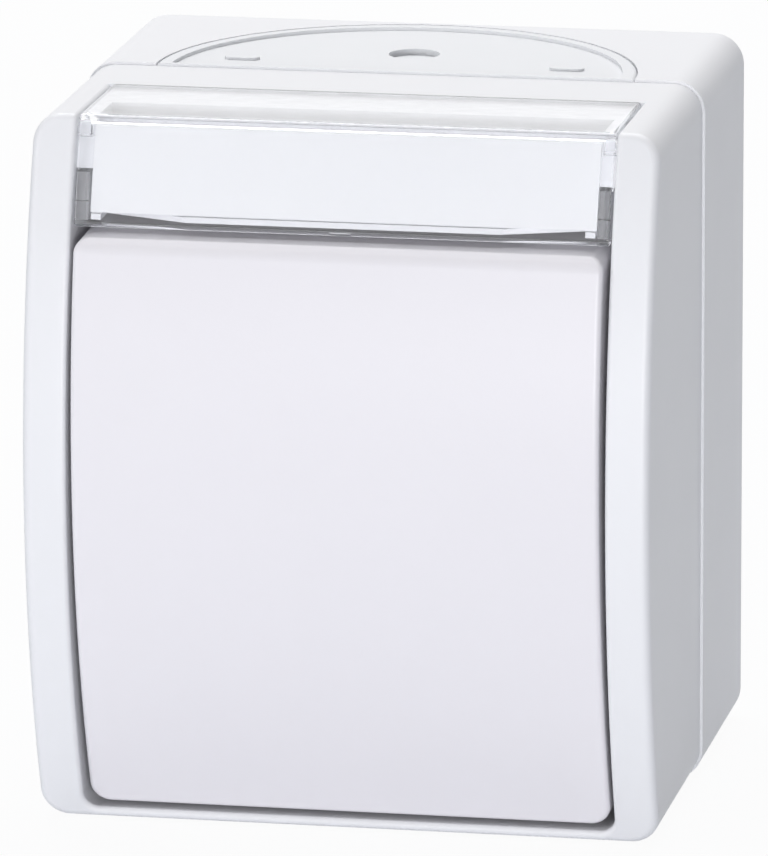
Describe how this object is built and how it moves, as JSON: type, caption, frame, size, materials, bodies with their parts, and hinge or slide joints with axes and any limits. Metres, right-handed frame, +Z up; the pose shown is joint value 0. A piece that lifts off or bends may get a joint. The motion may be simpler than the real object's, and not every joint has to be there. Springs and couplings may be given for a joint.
{
  "type": "wall switch",
  "caption": "Surface-mount rocker light switch in a white two-part housing with bowed cheeks, a clear label window above the rocker and a half-round cable entry in the top.",
  "frame": {"origin": "centre of the flat back face, on the wall", "axes": "+Y into the wall, so the switch faces -Y; +X to the right seen from the front; +Z up"},
  "size_m": [0.0706, 0.0643, 0.0806],
  "materials": {
    "housing_white": "satin moulded, fine texture",
    "rocker_white": "satin moulded, smoother than the housing",
    "entry_soft": "matt, soft",
    "window_clear": "clear moulded plastic, polished",
    "label_card": "matt white card",
    "seal_grey": "matt",
    "mechanism_grey": "matt moulded",
    "bridge_steel": "zinc plated sheet",
    "screw_steel": "zinc plated",
    "spring_steel": "bright wire",
    "contact_brass": "bright stamped",
    "tip_silver": "silver alloy, matt"
  },
  "bodies": {
    "housing": {"rear_box": "housing_white", "cable_entry_insert": "entry_soft", "front_frame": "housing_white", "joint_seal": "seal_grey", "cover_screws": "screw_steel", "label_window": "window_clear", "label_strip": "label_card", "mounting_bridge": "bridge_steel", "bridge_screws": "screw_steel", "switch_base": "mechanism_grey", "switch_cover": "mechanism_grey", "mechanism_rivets": "screw_steel", "mechanism_seal": "seal_grey", "common_contact": "contact_brass", "fixed_contact_upper": "contact_brass", "fixed_contact_lower": "contact_brass", "fixed_tips": "tip_silver", "terminal_common": "contact_brass", "terminal_upper": "contact_brass", "terminal_lower": "contact_brass", "terminal_screws": "screw_steel"},
    "rocker": {"rocker": "rocker_white", "rocker_cradle": "mechanism_grey", "plunger": "mechanism_grey", "plunger_spring": "spring_steel"},
    "contact_rocker": {"contact_rocker": "contact_brass", "moving_tips": "tip_silver"}
  },
  "joints": [
    {"name": "rocker_tilt", "type": "hinge", "parent": "housing", "child": "rocker", "pos_m": [0, -0.046, -0.005], "axis": [-1, 0, 0], "range_deg": [0, 5]},
    {"name": "contact_tilt", "type": "hinge", "parent": "housing", "child": "contact_rocker", "pos_m": [0, -0.018, -0.005], "axis": [1, 0, 0], "range_deg": [0, 14]}
  ],
  "couplings": [
    {"joint": "contact_tilt", "follows": "rocker_tilt", "ratio": 2.8}
  ]
}
